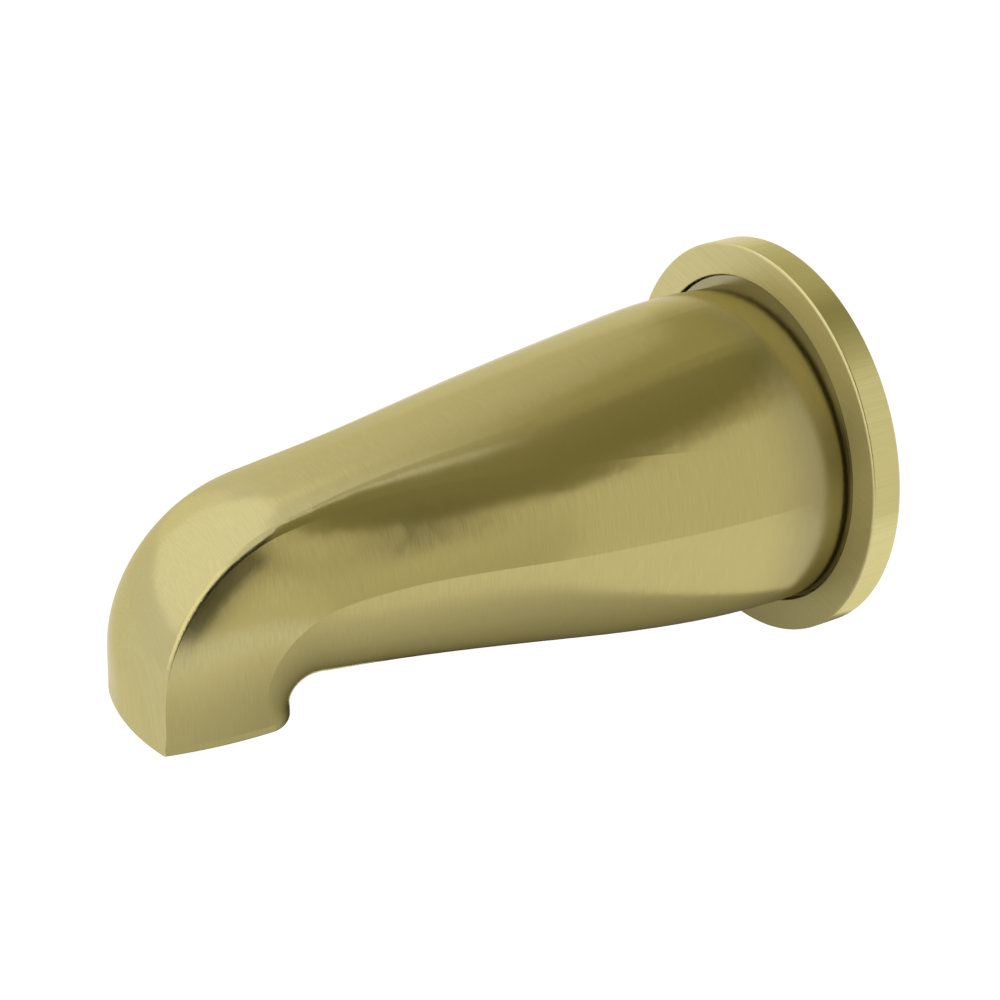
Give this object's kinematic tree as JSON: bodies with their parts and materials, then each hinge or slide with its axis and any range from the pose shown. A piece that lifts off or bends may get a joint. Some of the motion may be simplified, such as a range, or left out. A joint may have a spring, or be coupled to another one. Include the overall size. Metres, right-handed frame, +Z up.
{
  "type": "bath spout",
  "caption": "Wall-mounted bath spout: a tapered hollow arm with a creased crown that bends down to a squarish outlet, behind it a loose round wall flange, with a threaded inlet at the wall.",
  "frame": {"origin": "on the inlet's axis, in the plane of the wall (the flange's back face)", "axes": "+Y along the inlet into the wall, the spout reaches towards -Y, +Z up, X across; x = 0 is the mirror plane"},
  "size_m": [0.075, 0.1335, 0.075],
  "materials": {
    "satin_brass": "satin, brushed around the arm",
    "flange_brass": "satin, brushed in straight lines across the front face"
  },
  "bodies": {
    "root": {"spout_body": "satin_brass", "wall_flange": "flange_brass"}
  },
  "joints": []
}
